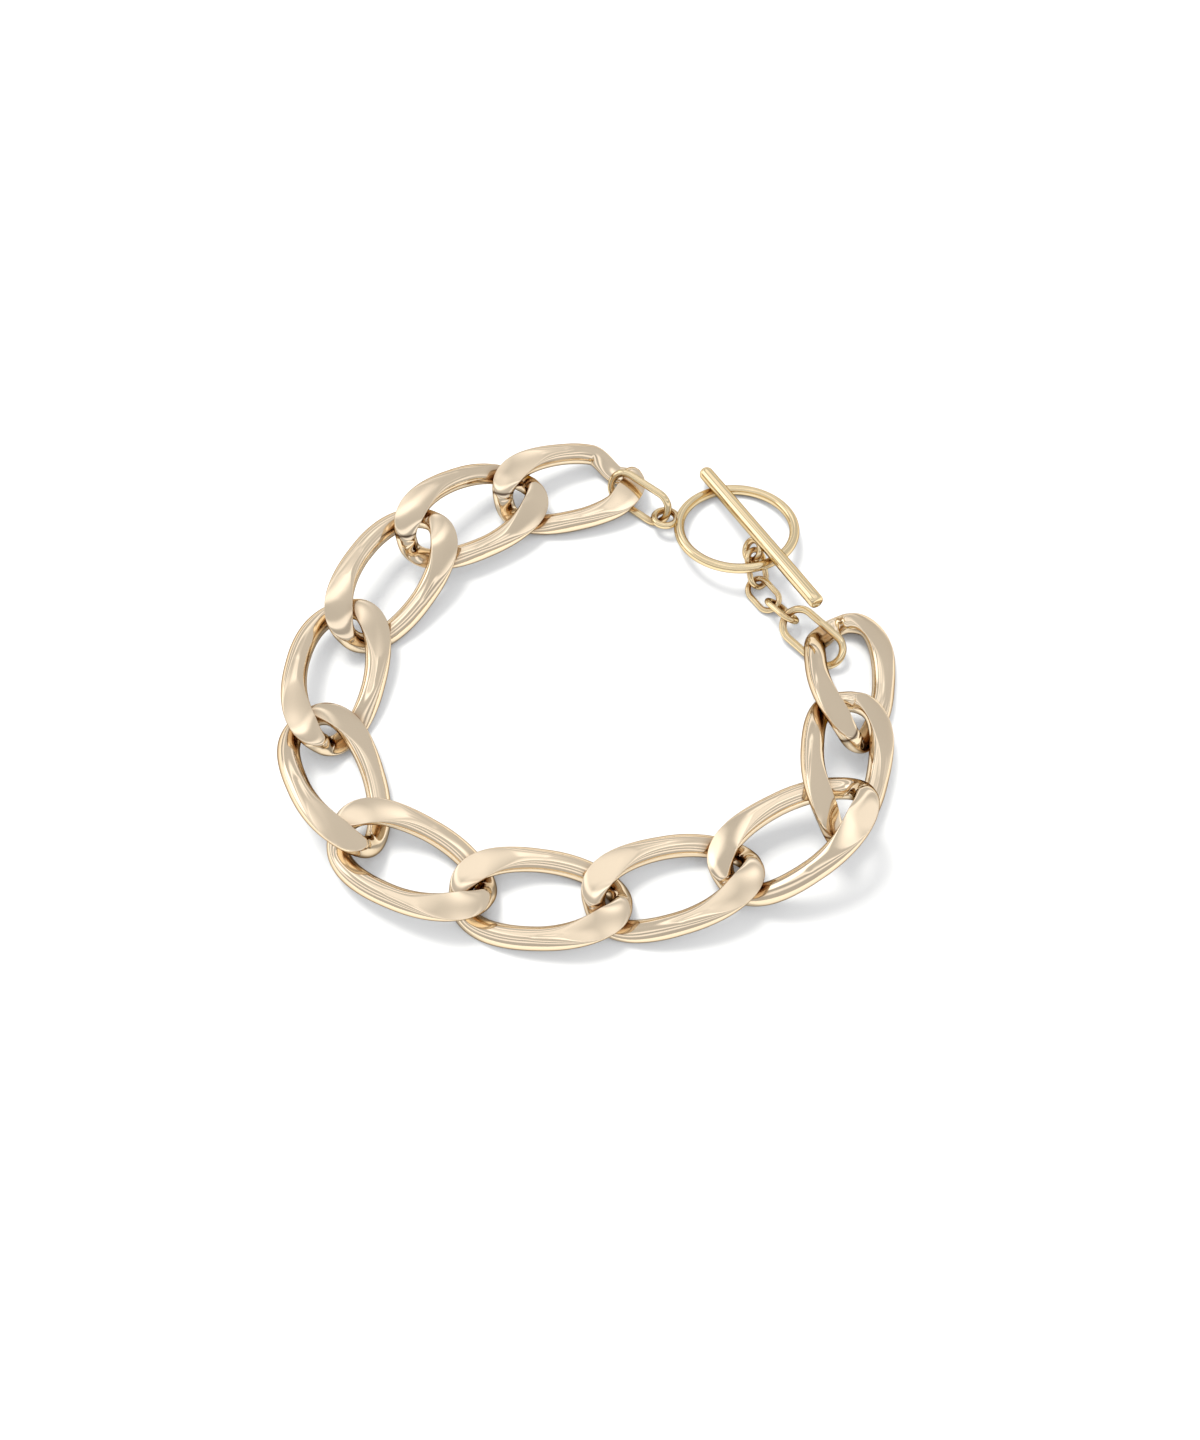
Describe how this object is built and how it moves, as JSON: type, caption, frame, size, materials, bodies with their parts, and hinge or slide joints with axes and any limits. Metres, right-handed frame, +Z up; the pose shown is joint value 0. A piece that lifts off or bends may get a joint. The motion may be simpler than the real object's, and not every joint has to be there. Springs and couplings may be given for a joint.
{
  "type": "link bracelet",
  "caption": "Chunky curb-link bracelet in pale champagne gold, closed in a loop with a toggle ring and bar clasp, lying flat.",
  "frame": {"origin": "middle of the loop's outline, on the surface it lies on", "axes": "+Z up from the surface; +X along the loop's longer way, toward the clasp's side; +Y toward the clasp end of the loop, away from the viewer of the picture"},
  "size_m": [0.0708, 0.0662, 0.0102],
  "materials": {
    "links": "polished pale champagne-gold plating",
    "clasp": "polished gold plating, slightly yellower than the links"
  },
  "bodies": {
    "root": {"link_01": "links", "link_02": "links", "link_03": "links", "link_04": "links", "link_05": "links", "link_06": "links", "link_07": "links", "link_08": "links", "link_09": "links", "link_10": "links", "link_11": "links", "ring_connector": "clasp", "toggle_ring": "clasp", "toggle_bar": "clasp", "bar_chain_1": "clasp", "bar_chain_2": "clasp", "bar_chain_3": "clasp", "end_oval": "clasp"}
  },
  "joints": []
}
